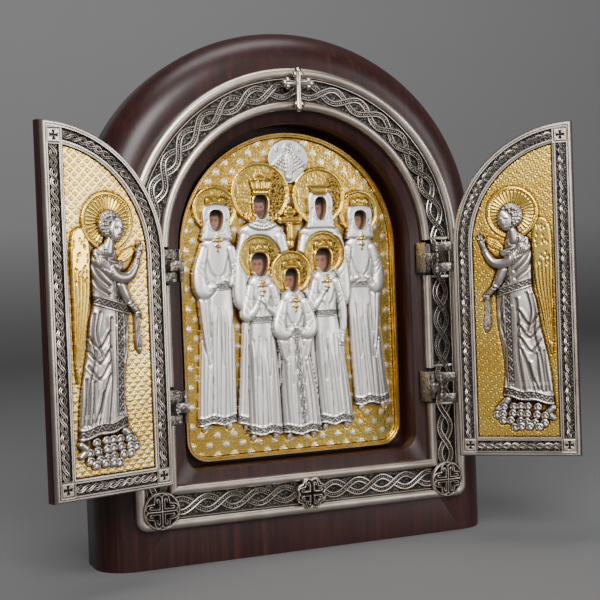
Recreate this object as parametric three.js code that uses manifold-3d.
// A folding icon: an arched wooden case that stands on its flat base, with a recessed relief icon,
// a silvered knotwork frame on its face and two quarter-arch doors on comb hinges.
// Millimetres, +Z up. The icon looks along -Y. The origin is the middle of the case's underside.

import * as THREE from 'three';
import * as BufferGeometryUtils from 'three/addons/utils/BufferGeometryUtils.js';
import Module from 'manifold-3d';

const wasm = await Module();
wasm.setup();

// Clearances
const GAP = 0.3; // between pieces that touch
const RUNNING = 0.3; // between a hinge pin and its knuckles
const SINK = 0.2; // how far a raised form is rooted in its ground

// Wooden case
const CASE_WIDTH = 150;
const CASE_DEPTH = 22;
const CASE_SPRING = 114.5; // height at which the arch begins
const CASE_RISE = 71.5; // height of the arch itself
const CASE_ROUND = 12; // rounding of the front edge
const WELL_WIDTH = 89;
const WELL_BOTTOM = 32.3;
const WELL_CORNER = 6;
const WELL_DEPTH = 12;

// Arches of the frame, the well and the icon share this springing line
const ARCH_SPRING = 108;

// Silvered frame on the case
const FRAME_WIDTH = 127;
const FRAME_BOTTOM = 13.5;
const FRAME_CORNER = 4;
const OUTER_RAIL = 4.1;
const CHANNEL = 7.6;
const INNER_RAIL = 3.1;
const FRAME_BAND = OUTER_RAIL + CHANNEL + INNER_RAIL;
const RAIL_HEIGHT = 3.5;
const FRAME_FLOOR = 1.3;
const KNOT_PITCH = 10; // one eye of the two-strand knotwork
const KNOT_STRAND = 2.4;
const KNOT_HEIGHT = 1.3;
const NOTCH_HEIGHT = 13.2; // gap in the inner rail at each hinge
const NOTCH_WIDTH = 6.4;
const NOTCH_LIP = 1;

// Bosses and cross
const CORNER_BOSS = 13.2; // diameter
const BOSS_INSET = 1.9; // from the frame's side to a corner boss
const BOSS_LIFT = 0.35; // from the frame's bottom to a corner boss
const CENTRE_BOSS = 12;
const BOSS_HEIGHT = 4.2;
const BOSS_SEAT = 0.9; // frame metal left under a boss
const CROSS_HEIGHT = 15.8;
const CROSS_SPAN = 12.6;
const CROSS_BAR = 3;
const CROSS_THICK = 2.2;

// Icon: painted board, stamped metal cover, gilt rim
const ICON_MARGIN = 4.5; // from the icon's edge to the side of the well
const ICON_LIFT = 3.3; // from the bottom of the well to the icon
const ICON_WIDTH = WELL_WIDTH - 2 * ICON_MARGIN;
const ICON_BOTTOM = WELL_BOTTOM + ICON_LIFT;
const DRAWN_WIDTH = 80; // the saints' places are given on an icon of this width and bottom
const DRAWN_BOTTOM = 35.6;
const ICON_CORNER = 6;
const BOARD_THICK = 2;
const COVER_THICK = 0.9;
const RIM_WIDTH = 1.6;
const RIM_HEIGHT = 2.4;

// Hinges
const PIN_INSET = 1.4; // from the frame's inner edge to the pins
const PIN_X = FRAME_WIDTH / 2 - FRAME_BAND + PIN_INSET; // from the middle of the case
const PIN_OUT = 10.5; // in front of the case's face
const PIN_RADIUS = 0.6;
const KNUCKLE_RADIUS = 1.5;
const KNUCKLE_SIDES = 6;
const HINGE_HEIGHT = 11;
const HINGE_LEVELS = { upper: 103, lower: 55.6 };
const LEAF = 0.8;
const LEAF_ARM = 3.2; // from the pin to the case leaf's upright
const DOOR_OFFSET = 7.1; // from the pin to the door's edge
const PLATE_START = 5.4; // from the pin to the door leaf's full-height plate
const PLATE_LENGTH = 6;

// Doors
const DOOR_MEETING = 0.8; // from a shut door's free edge to the middle
const DOOR_WIDTH = PIN_X - DOOR_OFFSET - DOOR_MEETING;
const DOOR_BOTTOM = 31.6;
const DOOR_SPRING = 106.2;
const DOOR_WOOD = 4;
const DOOR_FRAME_THICK = 2;
const DOOR_FRAME_WIDTH = 6.8;
const DOOR_GROUND = 0.7; // depth of the gilt ground below the door frame's face
const TILE = 5.2;
const LEFT_OPEN = 163.5; // degrees from shut, as it stands
const RIGHT_OPEN = 142.2;

const FRONT = -CASE_DEPTH / 2;
const WELL_FLOOR = FRONT + WELL_DEPTH;
const BOARD_BACK = WELL_FLOOR - GAP;
const COVER_BACK = BOARD_BACK - BOARD_THICK - GAP;
const ICON_GROUND = COVER_BACK - COVER_THICK;
const FRAME_BACK = FRONT - GAP;

const material = (color, roughness, metalness) =>
  new THREE.MeshStandardMaterial({ color, roughness, metalness });
const wood = material('#3a201c', 0.35, 0);
const darkWood = material('#2a1714', 0.4, 0);
const silver = material('#a9a298', 0.4, 0.9);
const gilt = material('#d9b45a', 0.35, 0.9);
const steel = material('#8f8a84', 0.45, 0.9);

// Closed solids from rings of points. Each ring has as many points as the next.
function solidFrom(points, faces) {
  let volume = 0;
  for (const [a, b, c] of faces) {
    volume += points[a].dot(new THREE.Vector3().crossVectors(points[b], points[c]));
  }
  const order = volume < 0 ? ([a, b, c]) => [a, c, b] : (face) => face;
  const geometry = new THREE.BufferGeometry();
  geometry.setAttribute('position', new THREE.Float32BufferAttribute(points.flatMap((p) => p.toArray()), 3));
  geometry.setIndex(faces.flatMap(order));
  return geometry;
}

function joinRings(rings, closed) {
  const count = rings[0].length;
  const faces = [];
  const last = closed ? rings.length : rings.length - 1;
  for (let r = 0; r < last; r += 1) {
    const next = (r + 1) % rings.length;
    for (let i = 0; i < count; i += 1) {
      const j = (i + 1) % count;
      faces.push([r * count + i, r * count + j, next * count + j]);
      faces.push([r * count + i, next * count + j, next * count + i]);
    }
  }
  return faces;
}

function capped(rings) {
  const count = rings[0].length;
  const points = rings.flat();
  const faces = joinRings(rings, false);
  for (const start of [0, points.length - count]) {
    const ring = points.slice(start, start + count);
    const hub = points.length;
    points.push(ring.reduce((sum, p) => sum.add(p), new THREE.Vector3()).divideScalar(count));
    for (let i = 0; i < count; i += 1) {
      const j = (i + 1) % count;
      faces.push(start ? [hub, start + i, start + j] : [hub, start + j, start + i]);
    }
  }
  return solidFrom(points, faces);
}

function hoop(rings) {
  return solidFrom(rings.flat(), joinRings(rings, true));
}

// Cuts and joins
function toManifold(geometry) {
  const bare = geometry.clone();
  bare.deleteAttribute('normal');
  bare.deleteAttribute('uv');
  const merged = BufferGeometryUtils.mergeVertices(bare, 1e-4);
  return new wasm.Manifold(new wasm.Mesh({
    numProp: 3,
    vertProperties: new Float32Array(merged.attributes.position.array),
    triVerts: new Uint32Array(merged.index.array),
  }));
}

function fromManifold(solid) {
  const { vertProperties, triVerts } = solid.getMesh();
  const geometry = new THREE.BufferGeometry();
  geometry.setAttribute('position', new THREE.BufferAttribute(vertProperties, 3));
  geometry.setIndex(new THREE.BufferAttribute(triVerts, 1));
  return geometry;
}

function join(...pieces) {
  return fromManifold(pieces.map(toManifold).reduce((all, piece) => all.add(piece)));
}

function cut(body, ...tools) {
  return fromManifold(tools.map(toManifold).reduce((left, tool) => left.subtract(tool), toManifold(body)));
}

function box(low, high) {
  const size = high.map((value, i) => value - low[i]);
  return new THREE.BoxGeometry(...size).translate(...high.map((value, i) => (value + low[i]) / 2));
}

// An upright rod along Z
function rod(x, y, radius, bottom, top, sides) {
  const geometry = new THREE.CylinderGeometry(radius, radius, top - bottom, sides);
  return geometry.rotateX(Math.PI / 2).translate(x, y, (top + bottom) / 2);
}

// A disc or oval plate that faces -Y
function disc(x, z, radiusX, radiusZ, back, front, sides) {
  const geometry = new THREE.CylinderGeometry(1, 1, back - front, sides);
  return geometry.scale(radiusX, 1, radiusZ).translate(x, (back + front) / 2, z);
}

// Mirrors a solid left to right and keeps its faces outward
function mirrored(geometry) {
  const copy = geometry.clone().scale(-1, 1, 1);
  const index = copy.index.array;
  for (let i = 0; i < index.length; i += 3) {
    [index[i], index[i + 1]] = [index[i + 1], index[i]];
  }
  return copy;
}

const ARCH_STEPS = 20;

// Points of a round-arched outline, from its lower left corner over the arch to its lower right
function archRing({ half, bottom, spring, rise, corner }, y, steps = ARCH_STEPS, cornerSteps = 2) {
  const ring = [];
  const push = (x, z) => ring.push(new THREE.Vector3(x, y, z));
  for (let i = 0; i <= cornerSteps; i += 1) {
    const a = (Math.PI / 2) * (i / cornerSteps);
    push(-half + corner * (1 - Math.sin(a)), bottom + corner * (1 - Math.cos(a)));
  }
  for (let i = 0; i <= steps; i += 1) {
    const a = Math.PI * (1 - i / steps);
    push(half * Math.cos(a), spring + rise * Math.sin(a));
  }
  for (let i = cornerSteps; i >= 0; i -= 1) {
    const a = (Math.PI / 2) * (i / cornerSteps);
    push(half - corner * (1 - Math.sin(a)), bottom + corner * (1 - Math.cos(a)));
  }
  return ring;
}

// The same outline moved inward by an inset
function inset(outline, by) {
  const { half, bottom, spring, rise, corner } = outline;
  const sharp = 0.05; // the least radius of a corner
  const round = Math.max(corner - by, sharp);
  return { half: half - by, bottom: bottom + by, spring, rise: rise - by, corner: round };
}

const archOf = (width, bottom, corner) => ({
  half: width / 2, bottom, spring: ARCH_SPRING, rise: width / 2, corner,
});
const FRAME_OUTLINE = archOf(FRAME_WIDTH, FRAME_BOTTOM, FRAME_CORNER);
const WELL_OUTLINE = archOf(WELL_WIDTH, WELL_BOTTOM, WELL_CORNER);
const ICON_OUTLINE = archOf(ICON_WIDTH, ICON_BOTTOM, ICON_CORNER);

// The case: an arched block with a rounded front edge, sawn flat below, and the well for the icon
function woodenCase() {
  const steps = 5;
  const outline = { half: CASE_WIDTH / 2, bottom: 0, spring: CASE_SPRING, rise: CASE_RISE, corner: 0.05 };
  const rings = [archRing(outline, CASE_DEPTH / 2, ARCH_STEPS, 1)];
  for (let i = 0; i <= steps; i += 1) {
    const a = (Math.PI / 2) * (i / steps);
    const step = { ...inset(outline, CASE_ROUND * (1 - Math.cos(a))), bottom: 0 };
    rings.push(archRing(step, FRONT + CASE_ROUND * (1 - Math.sin(a)), ARCH_STEPS, 1));
  }
  const well = capped([archRing(WELL_OUTLINE, WELL_FLOOR), archRing(WELL_OUTLINE, FRONT - 1)]);
  return cut(capped(rings), well);
}

function paintedBoard() {
  return capped([BOARD_BACK, BOARD_BACK - BOARD_THICK].map((y) => archRing(ICON_OUTLINE, y)));
}

// The gilt rim stands round the cover, on the floor of the well
function iconRim() {
  const top = ICON_GROUND - RIM_HEIGHT + COVER_THICK;
  const profile = [[0, BOARD_BACK], [-0.3, top], [0.3 - RIM_WIDTH, top], [-RIM_WIDTH, BOARD_BACK]];
  return hoop(profile.map(([by, y]) => archRing(inset(ICON_OUTLINE, by - GAP), y)));
}

// Where the knotwork runs: the middle of the channel, as a closed route with its outward direction
function channelRoute() {
  const middle = inset(FRAME_OUTLINE, OUTER_RAIL + CHANNEL / 2);
  const low = middle.bottom;
  const side = middle.spring - low;
  const arc = Math.PI * middle.half;
  const total = 2 * middle.half + 2 * side + arc;
  const place = (s) => {
    if (s < side) return [-middle.half, low + s, -1, 0];
    if (s < side + arc) {
      const a = Math.PI - (s - side) / middle.half;
      return [middle.half * Math.cos(a), middle.spring + middle.half * Math.sin(a), Math.cos(a), Math.sin(a)];
    }
    if (s < 2 * side + arc) return [middle.half, middle.spring - (s - side - arc), 1, 0];
    return [middle.half - (s - 2 * side - arc), low, 0, -1];
  };
  return { total, place };
}

// The knotwork: two strands that part and meet again, so that each eye of the knot is a hollow
function knotwork() {
  const { total, place } = channelRoute();
  const stations = 2 * Math.round(total / KNOT_PITCH);
  const swing = (CHANNEL - KNOT_STRAND) / 2 - GAP;
  const floor = FRAME_BACK - FRAME_FLOOR;
  const rings = [];
  for (let i = 0; i < stations; i += 1) {
    const [x, z, nx, nz] = place((i / stations) * total);
    const apart = i % 2 ? swing : KNOT_STRAND * 0.15;
    const hollow = i % 2 ? floor - SINK / 2 : floor - KNOT_HEIGHT * 0.8;
    const at = (off, y) => new THREE.Vector3(x + nx * off, y, z + nz * off);
    rings.push([
      at(-apart - KNOT_STRAND / 2, floor + SINK), at(-apart, floor - KNOT_HEIGHT), at(0, hollow),
      at(apart, floor - KNOT_HEIGHT), at(apart + KNOT_STRAND / 2, floor + SINK),
    ]);
  }
  return hoop(rings);
}

const BOSS_PLACES = {
  left: [-FRAME_WIDTH / 2 + CORNER_BOSS / 2 + BOSS_INSET, FRAME_BOTTOM + CORNER_BOSS / 2 + BOSS_LIFT],
  right: [FRAME_WIDTH / 2 - CORNER_BOSS / 2 - BOSS_INSET, FRAME_BOTTOM + CORNER_BOSS / 2 + BOSS_LIFT],
  centre: [0, FRAME_BOTTOM + FRAME_BAND / 2],
};

function hingeNotch(side, level) {
  const inner = FRAME_WIDTH / 2 - FRAME_BAND;
  const [left, right] = [side * (inner - 1), side * (inner + NOTCH_WIDTH)].sort((a, b) => a - b);
  const deep = FRAME_BACK - FRAME_FLOOR / 2;
  const half = NOTCH_HEIGHT / 2;
  return box([left, deep - RAIL_HEIGHT * 2, level - half], [right, deep, level + half]);
}

function notchLips(side, level) {
  const inner = FRAME_WIDTH / 2 - FRAME_BAND;
  const xs = [side * (inner + 0.5), side * (inner + FRAME_BAND - OUTER_RAIL / 2)].sort((a, b) => a - b);
  return [-1, 1].map((end) => {
    const z = level + end * (NOTCH_HEIGHT / 2 + NOTCH_LIP / 2);
    const half = NOTCH_LIP / 2;
    return box([xs[0], FRAME_BACK - RAIL_HEIGHT * 0.8, z - half], [xs[1], FRAME_BACK - SINK, z + half]);
  });
}

// The case frame: two rounded rails with a knotted channel between them
function caseFrame() {
  const crest = FRAME_BACK - RAIL_HEIGHT;
  const floor = FRAME_BACK - FRAME_FLOOR;
  const shoulder = FRAME_BACK - RAIL_HEIGHT * 0.65;
  const channel = OUTER_RAIL + CHANNEL;
  const profile = [
    [0, FRAME_BACK], [0, shoulder], [OUTER_RAIL * 0.3, crest], [OUTER_RAIL * 0.7, crest], [OUTER_RAIL, floor],
    [channel, floor], [channel + INNER_RAIL * 0.2, crest], [channel + INNER_RAIL * 0.75, crest],
    [FRAME_BAND, shoulder], [FRAME_BAND, FRAME_BACK],
  ];
  const ring = hoop(profile.map(([by, y]) => archRing(inset(FRAME_OUTLINE, by), y)));
  const levels = Object.values(HINGE_LEVELS);
  const lips = [-1, 1].flatMap((side) => levels.flatMap((level) => notchLips(side, level)));
  const notches = [-1, 1].flatMap((side) => levels.map((level) => hingeNotch(side, level)));
  const seats = Object.entries(BOSS_PLACES).map(([name, [x, z]]) => {
    const sides = 8;
    const radius = ((name === 'centre' ? CENTRE_BOSS : CORNER_BOSS) / 2 + GAP) / Math.cos(Math.PI / sides);
    return disc(x, z, radius, radius, FRAME_BACK - BOSS_SEAT, crest - 5, sides);
  });
  return cut(join(ring, knotwork(), ...lips), ...notches, ...seats);
}

// A boss: a domed disc with an equal-armed knotted cross in relief
function boss(diameter, lobes) {
  const radius = diameter / 2;
  const sides = lobes ? 16 : 12;
  const back = FRAME_BACK - BOSS_SEAT - GAP;
  const top = FRAME_BACK - BOSS_HEIGHT;
  const ringAt = (share, y) => Array.from({ length: sides }, (_, i) => {
    const a = (2 * Math.PI * i) / sides;
    const r = radius * share * (1 - lobes * (0.5 - 0.5 * Math.cos(8 * a)));
    return new THREE.Vector3(r * Math.cos(a), y, r * Math.sin(a));
  });
  const body = capped([ringAt(1, back), ringAt(1, top + 0.8), ringAt(0.86, top)]);
  const arm = radius * 0.78;
  const bar = radius * 0.13;
  const high = top - 0.5;
  const crossBars = [
    box([-arm, high, -bar], [arm, top + SINK * 3, bar]),
    box([-bar, high, -arm], [bar, top + SINK * 3, arm]),
  ];
  return join(body, ...crossBars);
}

// The budded cross lies over both rails at the crown of the arch
function toppingCross() {
  const back = FRAME_BACK - RAIL_HEIGHT - GAP;
  const front = back - CROSS_THICK;
  const bud = CROSS_BAR * 0.85;
  const armAt = CROSS_HEIGHT * 0.13;
  const reach = CROSS_SPAN / 2 - bud;
  const rise = CROSS_HEIGHT / 2 - bud;
  const half = CROSS_BAR / 2;
  const upright = box([-half, front, -rise], [half, back, rise]);
  const arms = box([-reach, front, armAt - half], [reach, back, armAt + half]);
  const ends = [[0, rise], [0, -rise], [reach, armAt], [-reach, armAt]];
  return join(upright, arms, ...ends.map(([x, z]) => disc(x, z, bud, bud, back, front - SINK * 2, 8)));
}

// Relief forms. A ground is the plane they stand on; out is the height above it, towards the viewer.
// A robe is skinned through rows of [height, middle, half width, depth], and folds ripple its front.
function robe(ground, rows, folds, foldDepth) {
  const across = 2 * folds;
  const rings = rows.map(([z, x, half, deep]) => {
    const ring = [];
    for (let i = 0; i <= across; i += 1) {
      const a = Math.PI * (i / across);
      const out = deep * Math.sin(a) ** 0.55 - (i % 2 ? 0 : foldDepth * Math.sin(a));
      ring.push(new THREE.Vector3(x - half * Math.cos(a), ground - Math.max(out, 0), z));
    }
    ring.push(new THREE.Vector3(x + half, ground + SINK, z), new THREE.Vector3(x - half, ground + SINK, z));
    return ring;
  });
  return capped(rings);
}

// A sleeve, arm or trailing cloth through points of [x, z, out, radius], with no undercut behind it
function limb(ground, points, sides = 2) {
  const rings = points.map(([x, z, out, radius], k) => {
    const [px, pz] = points[Math.max(k - 1, 0)];
    const [nx, nz] = points[Math.min(k + 1, points.length - 1)];
    const along = new THREE.Vector2(nx - px, nz - pz).normalize();
    const at = (off, high) => new THREE.Vector3(x - along.y * off, ground - high, z + along.x * off);
    const front = Array.from({ length: sides + 1 }, (_, i) => {
      const a = (Math.PI * i) / sides;
      return at(radius * Math.cos(a), out + radius * 0.8 * Math.sin(a));
    });
    return [...front, at(-radius, -SINK), at(radius, -SINK)];
  });
  return capped(rings);
}

// A halo: a round plate
function halo(ground, x, z, radius, out) {
  const sides = 12;
  const rings = [[1, -SINK], [0.97, out]];
  return capped(rings.map(([share, high]) => Array.from({ length: sides }, (_, i) => {
    const a = (2 * Math.PI * i) / sides;
    const reach = radius * share;
    return new THREE.Vector3(x + reach * Math.cos(a), ground - high, z + reach * Math.sin(a));
  })));
}

// A rounded form such as a head or a cloud, through rows of [share of its height, share of its width]
function knob(ground, x, z, half, tall, out, rows = [[0, 0.85], [0.5, 1], [1, 0.65]]) {
  const sides = 5;
  return capped(rows.map(([share, wide]) => {
    const up = z - tall / 2 + tall * share;
    const at = (off, high) => new THREE.Vector3(x + half * wide * off, ground - high, up);
    const front = Array.from({ length: sides }, (_, i) => {
      const a = Math.PI * (i / (sides - 1));
      return at(-Math.cos(a), out * Math.sin(a) * wide);
    });
    return [...front, at(1, -SINK), at(-1, -SINK)];
  }));
}

// Dress details, shared by the saints and the angels
const HEM_BAND = 3.2;
const HEM_STEP = 0.35; // how far the band stands out of the robe
const FOLD = 0.5; // depth of the folds
const SHOE = 2.4;
const MEDALLION_OUT = 1.6;
const STAFF_OUT = 2;

// The seven saints, from their heights and half widths. Lower rank stands nearer the viewer.
const SAINTS = [
  {
    x: -28.3, hemX: -30.1, hem: 46.6, waist: 97, shoulder: 112, half: 6.9, hemHalf: 7.2,
    halo: 8.2, haloZ: 122.7, faceZ: 118.7, face: [2.1, 3.3], deep: 2.4, crown: 4.2,
    arms: 'folded', feet: [-1, 1], veil: true,
  },
  {
    x: 27.7, hemX: 31, hem: 49.4, waist: 96, shoulder: 111, half: 6.9, hemHalf: 7.2,
    halo: 8.2, haloZ: 120.8, faceZ: 118.2, face: [2.1, 3.3], deep: 2.4, crown: 4.2,
    arms: 'folded', feet: [1], veil: true,
  },
  {
    x: -11, hemX: -13.2, hem: 46, waist: 96, shoulder: 117.5, half: 9.6, hemHalf: 9.4,
    halo: 11.2, haloZ: 128.1, faceZ: 123.4, face: [2.8, 4.4], deep: 2.6, crown: 6.4,
    arms: 'side', feet: [], veil: false,
  },
  {
    x: 11.8, hemX: 13, hem: 46, waist: 96, shoulder: 116.5, half: 8.6, hemHalf: 8.4,
    halo: 10.6, haloZ: 126.8, faceZ: 122.4, face: [2, 3.9], deep: 2.6, crown: 5,
    arms: 'side', feet: [], veil: true,
  },
  {
    x: -12.4, hemX: -12.2, hem: 41.8, waist: 83.5, shoulder: 97.5, half: 6.2, hemHalf: 7,
    halo: 7.8, haloZ: 105.3, faceZ: 102.9, face: [2.6, 4], deep: 3.6, crown: 3,
    arms: 'raised', feet: [-1], veil: false,
  },
  {
    x: 12.6, hemX: 15.9, hem: 43.6, waist: 84.5, shoulder: 98.5, half: 6.2, hemHalf: 7,
    halo: 7.8, haloZ: 106, faceZ: 103.6, face: [2.6, 4], deep: 3.6, crown: 3,
    arms: 'lowered', feet: [1], veil: false,
  },
  {
    x: -0.3, hemX: 2, hem: 41.2, waist: 77.5, shoulder: 91.5, half: 6, hemHalf: 7.6,
    halo: 7.8, haloZ: 99.5, faceZ: 96.8, face: [2.2, 4], deep: 4.3, crown: 3,
    arms: 'folded', feet: [-1], veil: false,
  },
];

// Sleeves and hands by the way the arms are held, as shares of the half width and the chest
function sleeves(saint, side) {
  const { x, half, waist, shoulder, deep, arms } = saint;
  const chest = shoulder - waist;
  const at = (across, up, out, radius) => {
    return [x + side * half * across, waist + chest * up, deep * out, half * radius];
  };
  const top = at(0.75, 0.85, 0.3, 0.3);
  const poses = {
    folded: [top, at(1, 0.2, 0.45, 0.46), at(0.45, 0.02, 0.85, 0.34), at(0, 0.18, 1.1, 0.16)],
    side: [top, at(0.98, 0.3, 0.4, 0.36), at(0.9, -0.3, 0.4, 0.3)],
    raised: [top, at(1, 0.15, 0.5, 0.42), at(0.35, 0.45, 0.95, 0.24), at(0, 0.7, 1.1, 0.15)],
    lowered: side < 0
      ? [top, at(0.95, 0.2, 0.5, 0.34), at(0.3, 0.4, 1, 0.2), at(0, 0.6, 1.1, 0.15)]
      : [top, at(0.95, 0, 0.5, 0.36), at(0.9, -0.6, 0.7, 0.22), at(0.85, -0.85, 0.7, 0.14)],
  };
  return limb(ICON_GROUND, poses[arms]);
}

function saintBody(saint) {
  const { x, hemX, hem, waist, shoulder, half, hemHalf, deep, feet } = saint;
  const chest = shoulder - waist;
  const bandTop = hem + HEM_BAND;
  const rows = [
    [hem, hemX, hemHalf + HEM_STEP, deep + HEM_STEP],
    [bandTop, hemX, hemHalf + HEM_STEP, deep + HEM_STEP],
    [bandTop + HEM_STEP, hemX, hemHalf, deep],
    [waist, hemX + (x - hemX) * 0.9, half * 0.74, deep * 0.9],
    [waist + chest * 0.8, x, half * 0.92, deep],
    [shoulder + chest * 0.2, x, half * 0.4, deep * 0.6],
  ];
  const shoes = feet.map((side) => {
    const footX = hemX + side * hemHalf * 0.55;
    const low = [footX - SHOE / 2, ICON_GROUND - deep * 0.6, hem - SHOE];
    return box(low, [footX + SHOE / 2, ICON_GROUND + SINK, hem + SINK]);
  });
  return join(robe(ICON_GROUND, rows, 3, FOLD), sleeves(saint, -1), sleeves(saint, 1), ...shoes);
}

function saintHead(saint) {
  const { x, halo: radius, haloZ, faceZ, face: [wide, tall], deep, crown, veil } = saint;
  const headHalf = wide + (veil ? 1.5 : 0.8);
  const low = faceZ - tall - (veil ? 1.3 : 0.6);
  const brow = faceZ + tall;
  const top = brow + crown;
  const share = (z) => (z - low) / (top - low);
  const rows = [[0, 0.85], [share(faceZ), 1], [share(brow + 0.5), 0.75], [1, veil ? 1.05 : 0.9]];
  const head = knob(ICON_GROUND, x, (low + top) / 2, headHalf, top - low, deep + 0.5, rows);
  return join(halo(ICON_GROUND, x, haloZ, radius, deep * 0.45), head);
}

function saintFace({ x, faceZ, face: [wide, tall] }) {
  return disc(x, faceZ, wide, tall, COVER_BACK + 1, ICON_GROUND - 12, 8);
}

// The medallion with its standing figure, and the cross on its staff between the parents
function coverEmblems() {
  const face = ICON_GROUND - MEDALLION_OUT;
  return [
    disc(0.3, 140, 8.6, 7.2, ICON_GROUND + SINK, face, 18),
    knob(face + SINK, 0.3, 140, 2.2, 11, 0.7),
    box([-0.8, ICON_GROUND - STAFF_OUT, 106], [0.8, ICON_GROUND + SINK, 124]),
    box([-4.4, ICON_GROUND - STAFF_OUT, 117.4], [4.4, ICON_GROUND + SINK, 119.2]),
  ];
}

// The saints and emblems are drawn for one size of icon and fitted to the icon as it is
function fittedToIcon(geometry) {
  const share = ICON_WIDTH / DRAWN_WIDTH;
  return geometry.translate(0, 0, -DRAWN_BOTTOM).scale(share, 1, share).translate(0, 0, ICON_BOTTOM);
}

// The cover: a thin gilt sheet with the emblems and the saints raised from it
function iconCover() {
  const sheet = capped([COVER_BACK, ICON_GROUND].map((y) => archRing(ICON_OUTLINE, y)));
  const figures = SAINTS.map((saint) => join(saintBody(saint), saintHead(saint)));
  const relief = join(sheet, ...[...coverEmblems(), ...figures].map(fittedToIcon));
  return cut(relief, ...SAINTS.map(saintFace).map(fittedToIcon));
}

// Doors are drawn open and flat for the right side: u runs from the pin to the free edge
const DOOR_HINGE_EDGE = DOOR_OFFSET;
const DOOR_FREE_EDGE = DOOR_OFFSET + DOOR_WIDTH;
const DOOR_BACK = -(KNUCKLE_RADIUS - GAP);
const DOOR_WOOD_FACE = DOOR_BACK - DOOR_WOOD;
const DOOR_METAL_BACK = DOOR_WOOD_FACE - GAP;
const DOOR_FACE = DOOR_METAL_BACK - DOOR_FRAME_THICK;

// Points of the quarter-arch outline of a door, moved inward by an inset
function doorRing(by, y, steps = 12) {
  const radius = DOOR_WIDTH - by;
  const right = DOOR_FREE_EDGE - by;
  const end = Math.acos(-by / radius);
  const ring = [new THREE.Vector3(DOOR_HINGE_EDGE + by, y, DOOR_BOTTOM + by)];
  for (let i = 0; i <= steps; i += 1) {
    const a = Math.PI + (end - Math.PI) * (i / steps);
    const z = DOOR_SPRING + radius * Math.sin(a);
    ring.push(new THREE.Vector3(DOOR_FREE_EDGE + radius * Math.cos(a), y, z));
  }
  ring.push(new THREE.Vector3(right, y, DOOR_BOTTOM + by));
  return ring;
}

function doorWood() {
  return capped([doorRing(0.4, DOOR_BACK), doorRing(-0.3, DOOR_BACK - 0.8), doorRing(-0.3, DOOR_WOOD_FACE)]);
}

// The door frame: a rail, a sunk channel and an inner rail, with square tiles at three corners
function doorFrame() {
  const floor = DOOR_FACE + 0.8;
  const width = DOOR_FRAME_WIDTH;
  const profile = [
    [0, DOOR_METAL_BACK], [0.2, DOOR_FACE], [1.6, DOOR_FACE], [1.9, floor],
    [width - 1.5, floor], [width - 1.2, DOOR_FACE], [width - 0.2, DOOR_FACE],
    [width, DOOR_METAL_BACK],
  ];
  const ring = hoop(profile.map(([by, y]) => doorRing(by, y)));
  const middle = width / 2 + 0.4;
  const radius = DOOR_WIDTH - middle;
  const top = DOOR_SPRING + Math.sqrt(radius ** 2 - middle ** 2);
  const corners = [
    [DOOR_FREE_EDGE - middle, top - 0.6],
    [DOOR_FREE_EDGE - middle, DOOR_BOTTOM + middle],
    [DOOR_HINGE_EDGE + middle, DOOR_BOTTOM + middle],
  ];
  const tiles = corners.map(([u, z]) =>
    box([u - TILE / 2, DOOR_FACE - 0.15, z - TILE / 2], [u + TILE / 2, floor + SINK, z + TILE / 2]));
  return join(ring, ...tiles);
}

// The angel's places are heights above the door's bottom and distances from its hinge edge
function angelAt(u, up) {
  return [DOOR_HINGE_EDGE + u, DOOR_BOTTOM + up];
}

function angel(ground) {
  const put = (u, up, ...rest) => [...angelAt(u, up), ...rest];
  const row = (up, u, half, deep) => [DOOR_BOTTOM + up, DOOR_HINGE_EDGE + u, half, deep];
  const gown = robe(ground, [
    row(19, 24.2, 7.9, 2.2),
    row(19 + HEM_BAND, 24.1, 7.9, 2.2),
    row(19 + HEM_BAND + HEM_STEP, 24.1, 7.5, 1.8),
    row(60, 23.2, 4.8, 2.1),
    row(60.4, 23.2, 5.2, 2.5),
    row(63.4, 23, 5.2, 2.5),
    row(63.8, 23, 4.8, 2.1),
    row(76, 22.6, 4.4, 2),
    row(79.5, 21.4, 2, 1.4),
  ], 3, FOLD);
  const [bandX, bandZ] = angelAt(19, 25);
  const band = box([bandX - 1.7, ground - 2.5, bandZ], [bandX + 1.7, ground, bandZ + 44]);
  const raised = limb(ground, [
    put(24, 72, 1.4, 2), put(15.5, 67.6, 1.8, 1.7), put(11.4, 71.5, 1.6, 1.2), put(10.6, 77, 1.4, 0.9),
  ]);
  const lowered = limb(ground, [
    put(17.5, 64, 1.4, 1.8), put(13.4, 60.4, 1.4, 1.2), put(10.8, 57.2, 1.2, 0.9),
  ]);
  const cloth = limb(ground, [put(11.8, 57.6, 0.8, 0.9), put(11.4, 51, 0.7, 0.8), put(11, 47, 0.7, 1.2)]);
  const [headX, headZ] = angelAt(20.4, 84);
  const head = knob(ground, headX, headZ, 3.4, 8.4, 2.9);
  const glory = halo(ground, ...angelAt(21, 86), 9.2, 0.7);
  const wing = limb(ground, [
    put(31, 82, 0.4, 2.6), put(31.4, 68, 0.4, 2.9), put(32, 52, 0.3, 2), put(32.6, 40, 0.2, 0.9),
  ]);
  const lesserWing = limb(ground, [put(17, 74, 0.3, 2.2), put(13, 76, 0.3, 1.6), put(11.6, 79, 0.2, 0.8)]);
  const clouds = [0, 1].flatMap((rowIndex) => Array.from({ length: 3 - rowIndex }, (_, i) => {
    const [x, z] = angelAt(16 + i * 7.4 + rowIndex * 3.7, 16.4 - rowIndex * 3.6);
    return knob(ground, x, z, 4.2, 4.6, 2.2);
  }));
  return [gown, band, raised, lowered, cloth, head, glory, wing, lesserWing, ...clouds];
}

// Doors' gilt panels: a thin sheet inside the frame with the angel raised from it
function doorRelief() {
  const ground = DOOR_FACE + DOOR_GROUND;
  const edge = DOOR_FRAME_WIDTH + GAP;
  const sheet = capped([DOOR_METAL_BACK, ground].map((y) => doorRing(edge, y)));
  return join(sheet, ...angel(ground));
}

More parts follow.
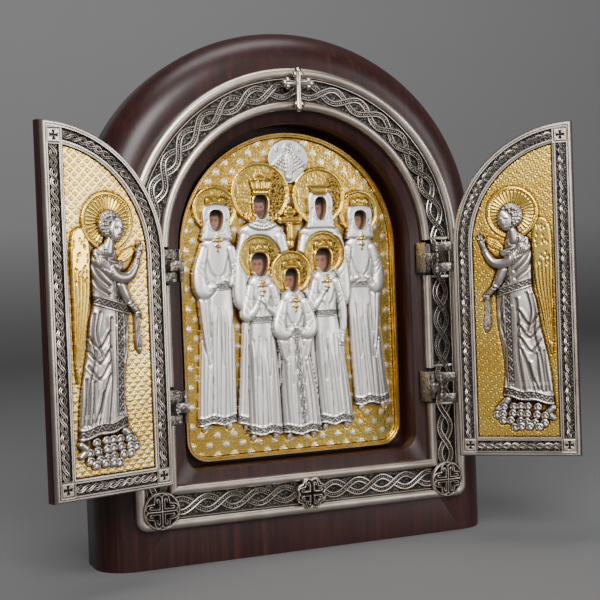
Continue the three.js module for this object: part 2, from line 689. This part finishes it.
// Comb hinges. The case leaf is a bracket: a foot, an upright and one middle knuckle.
function caseLeaf(level) {
  const third = HINGE_HEIGHT / 3 - GAP;
  const low = level - HINGE_HEIGHT / 2;
  const high = level + HINGE_HEIGHT / 2;
  const upright = PIN_X - LEAF_ARM;
  const seat = FRAME_BACK - FRAME_FLOOR / 2 - GAP;
  const pinY = FRONT - PIN_OUT;
  const wallTop = pinY + KNUCKLE_RADIUS;
  const foot = box([upright - LEAF, seat - LEAF, low + 0.4], [upright + LEAF_ARM + 2, seat, high - 0.4]);
  const wall = box([upright - LEAF, wallTop, low], [upright, seat, high]);
  const from = level - third / 2;
  const to = level + third / 2;
  const post = box([upright - LEAF, pinY - LEAF / 2, from], [upright, wallTop + SINK, to]);
  const tongue = box([upright - SINK, pinY - LEAF / 2, from], [PIN_X, pinY + LEAF / 2, to]);
  const knuckle = rod(PIN_X, pinY, KNUCKLE_RADIUS, from, to, KNUCKLE_SIDES);
  const bore = rod(PIN_X, pinY, PIN_RADIUS + RUNNING, low - 1, high + 1, KNUCKLE_SIDES);
  return cut(join(foot, wall, post, tongue, knuckle), bore);
}

// The door leaf: a plate on the back of the door with two outer knuckles
function doorLeaf(level) {
  const third = HINGE_HEIGHT / 3 - GAP;
  const plateLow = DOOR_BACK + GAP;
  const plate = box([PLATE_START, plateLow, level - HINGE_HEIGHT / 2],
    [PLATE_START + PLATE_LENGTH, plateLow + LEAF, level + HINGE_HEIGHT / 2]);
  const knuckles = [-1, 1].flatMap((end) => {
    const middle = level + end * (HINGE_HEIGHT - third) / 2;
    return [
      rod(0, 0, KNUCKLE_RADIUS, middle - third / 2, middle + third / 2, KNUCKLE_SIDES),
      box([0, plateLow, middle - third / 2], [PLATE_START + SINK, plateLow + LEAF, middle + third / 2]),
    ];
  });
  const bore = rod(0, 0, PIN_RADIUS + RUNNING, level - HINGE_HEIGHT, level + HINGE_HEIGHT, KNUCKLE_SIDES);
  return cut(join(plate, ...knuckles), bore);
}

function hingePin(level) {
  const half = HINGE_HEIGHT / 2;
  return rod(PIN_X, FRONT - PIN_OUT, PIN_RADIUS, level - half, level + half, KNUCKLE_SIDES);
}

// Assembly
const icon = new THREE.Group();

function place(parent, name, geometry, look) {
  const piece = new THREE.Mesh(geometry, look);
  piece.name = name;
  parent.add(piece);
  return piece;
}

place(icon, 'wooden_case', woodenCase(), wood);
place(icon, 'painted_icon_board', paintedBoard(), darkWood);
place(icon, 'icon_cover', iconCover(), gilt);
place(icon, 'icon_rim', iconRim(), gilt);
place(icon, 'case_frame', caseFrame(), silver);
place(icon, 'top_cross', toppingCross(), silver).position.z =
  ARCH_SPRING + FRAME_WIDTH / 2 - FRAME_BAND / 2 - 0.6;

for (const [name, [x, z]] of Object.entries(BOSS_PLACES)) {
  const centre = name === 'centre';
  const geometry = boss(centre ? CENTRE_BOSS : CORNER_BOSS, centre ? 0.12 : 0);
  place(icon, `${name}_boss`, geometry, silver).position.set(x, 0, z);
}

const doorFor = { wood: doorWood(), frame: doorFrame(), relief: doorRelief() };
for (const [side, sign, open] of [['left', -1, LEFT_OPEN], ['right', 1, RIGHT_OPEN]]) {
  const sided = (geometry) => (sign < 0 ? mirrored(geometry) : geometry);
  const door = new THREE.Group();
  door.position.set(sign * PIN_X, FRONT - PIN_OUT, 0);
  door.rotation.z = THREE.MathUtils.degToRad(sign * (open - 180));
  icon.add(door);
  place(door, `${side}_door_panel`, sided(doorFor.wood), wood);
  place(door, `${side}_door_frame`, sided(doorFor.frame), silver);
  place(door, `${side}_door_relief`, sided(doorFor.relief), gilt);
  for (const [height, level] of Object.entries(HINGE_LEVELS)) {
    place(icon, `${side}_${height}_case_leaf`, sided(caseLeaf(level)), steel);
    place(icon, `${side}_${height}_pin`, sided(hingePin(level)), steel);
    place(door, `${side}_${height}_door_leaf`, sided(doorLeaf(level)), steel);
  }
}

export default icon;
